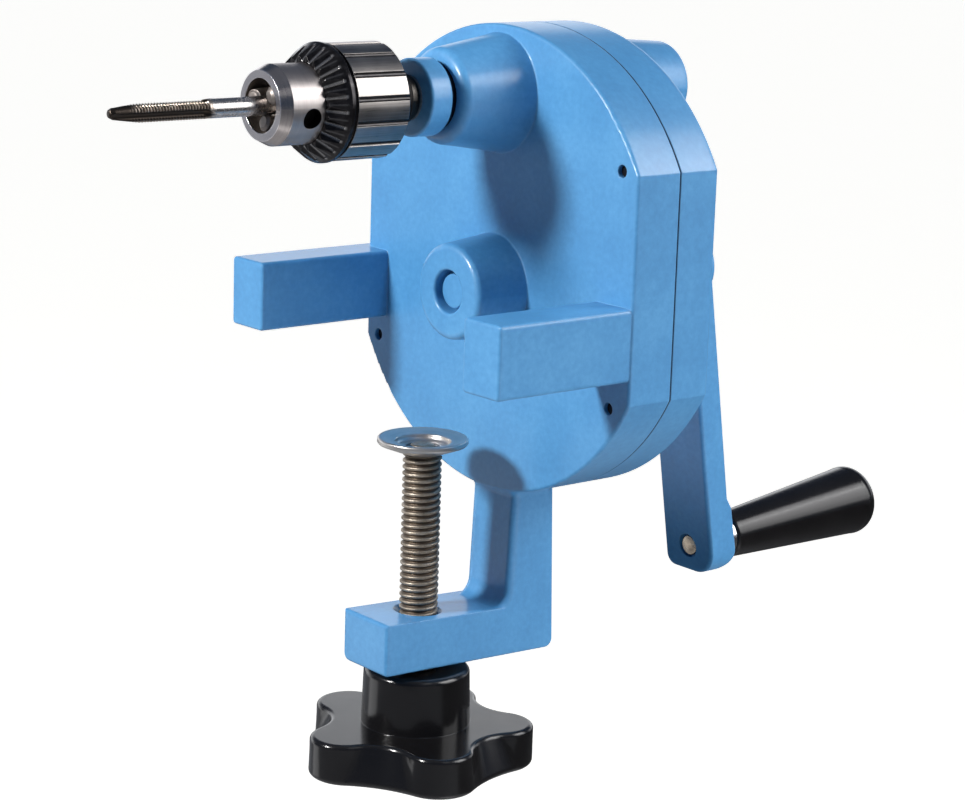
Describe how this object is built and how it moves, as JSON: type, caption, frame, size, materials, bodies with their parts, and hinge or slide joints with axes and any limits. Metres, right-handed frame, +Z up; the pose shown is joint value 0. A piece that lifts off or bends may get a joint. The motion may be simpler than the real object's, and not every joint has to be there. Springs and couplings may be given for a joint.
{
  "type": "hand tapping machine",
  "caption": "Table-clamped hand tapping machine: a long crank drives a geared spindle with a keyed chuck and tap; a screw with a star knob clamps it.",
  "frame": {"origin": "on the housing's front face, midway between its two flats, at the height of the undersides of the two upper clamp bars, which rest on the table top", "axes": "+X to the right seen from the chuck side, +Y from the chuck to the crank along the spindle, +Z up, away from the table"},
  "size_m": [0.1388, 0.3226, 0.2386],
  "materials": {
    "blue_paint": "satin sprayed enamel over casting",
    "paint_rear": "satin sprayed enamel over casting",
    "paint_arm": "satin sprayed enamel over casting",
    "paint_collar": "satin sprayed enamel",
    "paint_plug": "satin sprayed enamel",
    "black_screws": "black oxide, satin",
    "ground_steel": "ground",
    "chuck_steel": "polished, faintly warm",
    "sleeve_steel": "bright, polished",
    "tap_steel": "ground high speed steel",
    "oiled_steel": "oiled, brownish",
    "cup_steel": "polished",
    "bronze": "sintered bronze",
    "gear_steel": "machined",
    "black_plastic": "gloss black moulding",
    "handle_plastic": "gloss black moulding"
  },
  "bodies": {
    "housing": {"front_housing": "blue_paint", "rear_housing": "paint_rear", "case_screws": "black_screws", "case_dowels": "ground_steel", "spindle_front_bush": "bronze", "spindle_rear_bush": "bronze", "crank_front_bush": "bronze", "crank_rear_bush": "bronze", "crank_bore_plug": "paint_plug"},
    "spindle_group": {"spindle": "ground_steel", "spindle_collar": "paint_collar", "collar_screw": "black_screws", "spindle_pinion": "gear_steel", "pinion_key": "ground_steel", "spindle_washer": "ground_steel", "spindle_circlip": "black_screws", "chuck_body": "chuck_steel"},
    "sleeve_group": {"chuck_sleeve": "sleeve_steel", "chuck_nut": "gear_steel"},
    "jaw_1": {"chuck_jaw_1": "gear_steel"},
    "jaw_2": {"chuck_jaw_2": "gear_steel"},
    "jaw_3": {"chuck_jaw_3": "gear_steel"},
    "tap": {"tap": "tap_steel"},
    "crank_group": {"crank_shaft": "ground_steel", "drive_gear": "gear_steel", "gear_key": "ground_steel", "crank_circlip": "black_screws", "crank_arm": "paint_arm", "arm_washer": "ground_steel", "arm_screw": "black_screws", "handle_pin": "ground_steel", "handle_clip": "black_screws"},
    "handle": {"handle_grip": "handle_plastic"},
    "cup_group": {"clamp_cup": "cup_steel"},
    "screw_group": {"clamp_screw": "oiled_steel", "cup_ring": "black_screws", "star_knob": "black_plastic", "knob_screw": "black_screws"}
  },
  "joints": [
    {"name": "crank_turn", "type": "hinge", "parent": "housing", "child": "crank_group", "pos_m": [0, 0.03, 0.0192], "axis": [0, 1, 0], "continuous": true},
    {"name": "spindle_turn", "type": "hinge", "parent": "housing", "child": "spindle_group", "pos_m": [0, 0.02, 0.08145], "axis": [0, 1, 0], "continuous": true},
    {"name": "handle_spin", "type": "hinge", "parent": "crank_group", "child": "handle", "pos_m": [0, 0.0934, -0.0819], "axis": [0, 0.9982, 0.06], "continuous": true},
    {"name": "sleeve_turn", "type": "hinge", "parent": "spindle_group", "child": "sleeve_group", "pos_m": [0, -0.06, 0.08145], "axis": [0, 1, 0], "range_deg": [0, 1600]},
    {"name": "tap_slide", "type": "slide", "parent": "spindle_group", "child": "tap", "axis": [0, -1, 0], "range_m": [-0.01, 0.011]},
    {"name": "clamp_turn", "type": "hinge", "parent": "cup_group", "child": "screw_group", "pos_m": [0, -0.0268, -0.06], "axis": [0, 0, 1], "range_deg": [-8170, 175]},
    {"name": "clamp_travel", "type": "slide", "parent": "housing", "child": "cup_group", "axis": [0, 0, 1], "range_m": [-0.048, 0.001]},
    {"name": "jaw_1_slide", "type": "slide", "parent": "spindle_group", "child": "jaw_1", "axis": [0.1872, 0.9703, 0.1532], "range_m": [0, 0.0067]},
    {"name": "jaw_2_slide", "type": "slide", "parent": "spindle_group", "child": "jaw_2", "axis": [-0.2263, 0.9703, 0.0855], "range_m": [0, 0.0067]},
    {"name": "jaw_3_slide", "type": "slide", "parent": "spindle_group", "child": "jaw_3", "axis": [0.0391, 0.9703, -0.2387], "range_m": [0, 0.0067]}
  ],
  "couplings": [
    {"joint": "spindle_turn", "follows": "crank_turn", "ratio": -3.15},
    {"joint": "jaw_1_slide", "follows": "sleeve_turn", "m_per_rad": 0.00023873},
    {"joint": "jaw_2_slide", "follows": "sleeve_turn", "m_per_rad": 0.00023873},
    {"joint": "jaw_3_slide", "follows": "sleeve_turn", "m_per_rad": 0.00023873},
    {"joint": "clamp_turn", "follows": "clamp_travel", "rad_per_m": 2968.4}
  ]
}
